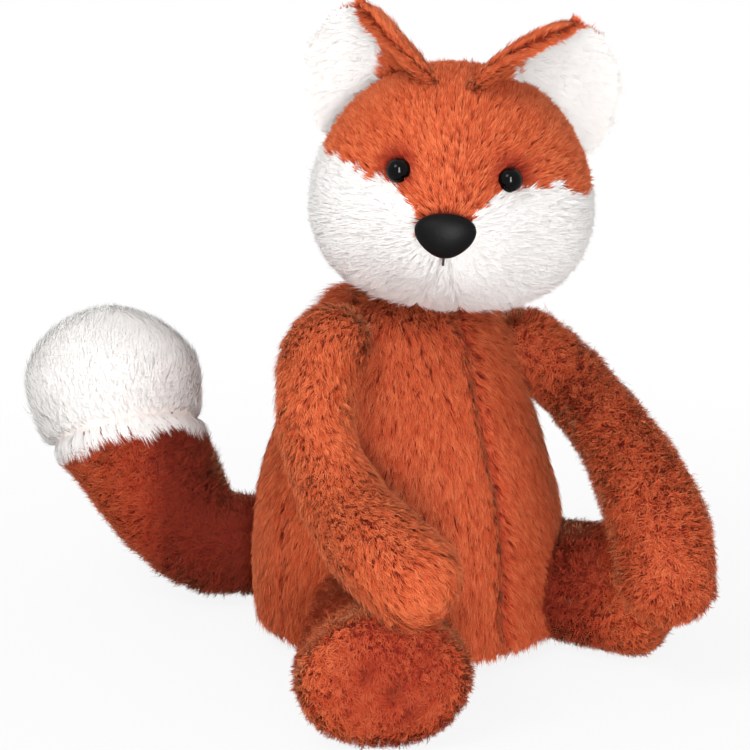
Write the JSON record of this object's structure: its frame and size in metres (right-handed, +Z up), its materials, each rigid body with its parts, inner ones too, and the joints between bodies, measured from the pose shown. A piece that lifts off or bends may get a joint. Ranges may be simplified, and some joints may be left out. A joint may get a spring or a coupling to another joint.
{
  "type": "plush fox",
  "caption": "Sitting plush fox with a turned head, cupped ears, long arms, splayed legs and a curled tail with a white tip.",
  "frame": {"origin": "On the floor plane, at the middle of the flat underside of the seat.", "axes": "+Z is up, -Y is the way the body faces, and +X is the fox's own left."},
  "size_m": [0.1916, 0.2577, 0.2469],
  "materials": {
    "rust_plush": "dense rust-orange pile, combed by hand, with shade in the partings",
    "white_plush": "dense cream-white pile",
    "fibre_filling": "loose white polyester fibre",
    "pouch_cloth": "plain woven cotton",
    "plastic_pellets": "smooth small plastic pellets",
    "washer_plastic": "moulded natural plastic",
    "eye_gloss": "polished black dome",
    "nose_matte": "fine satin black",
    "dark_thread": "twisted dark brown thread"
  },
  "bodies": {
    "torso": {"base_panel": "rust_plush", "body_front_right_panel": "rust_plush", "body_front_left_panel": "rust_plush", "body_back_right_panel": "rust_plush", "body_back_left_panel": "rust_plush", "body_stuffing": "fibre_filling", "bead_pouch": "pouch_cloth", "bead_fill": "plastic_pellets"},
    "head": {"forehead_panel": "rust_plush", "head_back_right_panel": "rust_plush", "head_back_left_panel": "rust_plush", "right_cheek_panel": "white_plush", "left_cheek_panel": "white_plush", "head_stuffing": "fibre_filling", "right_eye": "eye_gloss", "left_eye": "eye_gloss", "nose": "nose_matte", "mouth_stitch": "dark_thread", "right_eye_washer": "washer_plastic", "left_eye_washer": "washer_plastic", "nose_washer": "washer_plastic"},
    "right_ear": {"right_ear_front_panel": "white_plush", "right_ear_back_panel": "rust_plush"},
    "left_ear": {"left_ear_front_panel": "white_plush", "left_ear_back_panel": "rust_plush"},
    "right_arm": {"right_arm_outer_panel": "rust_plush", "right_arm_inner_panel": "rust_plush", "right_arm_stuffing": "fibre_filling"},
    "left_arm": {"left_arm_outer_panel": "rust_plush", "left_arm_inner_panel": "rust_plush", "left_arm_stuffing": "fibre_filling"},
    "right_leg": {"right_leg_upper_panel": "rust_plush", "right_leg_under_panel": "rust_plush", "right_sole_panel": "rust_plush", "right_leg_stuffing": "fibre_filling"},
    "left_leg": {"left_leg_upper_panel": "rust_plush", "left_leg_under_panel": "rust_plush", "left_sole_panel": "rust_plush", "left_leg_stuffing": "fibre_filling"},
    "tail": {"tail_front_panel": "rust_plush", "tail_back_panel": "rust_plush", "tail_tip_front_panel": "white_plush", "tail_tip_back_panel": "white_plush", "tail_stuffing": "fibre_filling"}
  },
  "joints": [
    {"name": "neck_turn", "type": "hinge", "parent": "torso", "child": "head", "pos_m": [0, 0, 0.138], "axis": [0, 0, 1], "range_deg": [-30, 75]},
    {"name": "right_ear_fold", "type": "hinge", "parent": "head", "child": "right_ear", "pos_m": [-0.01139, -0.00434, 0.22287], "axis": [-0.0432, 0.9555, -0.2917], "range_deg": [0, 30]},
    {"name": "left_ear_fold", "type": "hinge", "parent": "head", "child": "left_ear", "pos_m": [0.02953, -0.03747, 0.21873], "axis": [-0.9021, -0.19, 0.3874], "range_deg": [0, 30]},
    {"name": "right_arm_lift", "type": "hinge", "parent": "torso", "child": "right_arm", "pos_m": [-0.038, -0.012, 0.12], "axis": [-1, 0, 0], "range_deg": [0, 42]},
    {"name": "left_arm_lift", "type": "hinge", "parent": "torso", "child": "left_arm", "pos_m": [0.038, -0.012, 0.12], "axis": [-1, 0, 0], "range_deg": [0, 42]},
    {"name": "right_leg_splay", "type": "hinge", "parent": "torso", "child": "right_leg", "pos_m": [-0.052, -0.02, 0.022], "axis": [0, 0, -1], "range_deg": [0, 20]},
    {"name": "left_leg_splay", "type": "hinge", "parent": "torso", "child": "left_leg", "pos_m": [0.052, -0.02, 0.022], "axis": [0, 0, 1], "range_deg": [0, 20]},
    {"name": "tail_swing", "type": "hinge", "parent": "torso", "child": "tail", "pos_m": [0.01, 0.06, 0.02], "axis": [0, 0, -1], "range_deg": [0, 25]}
  ]
}
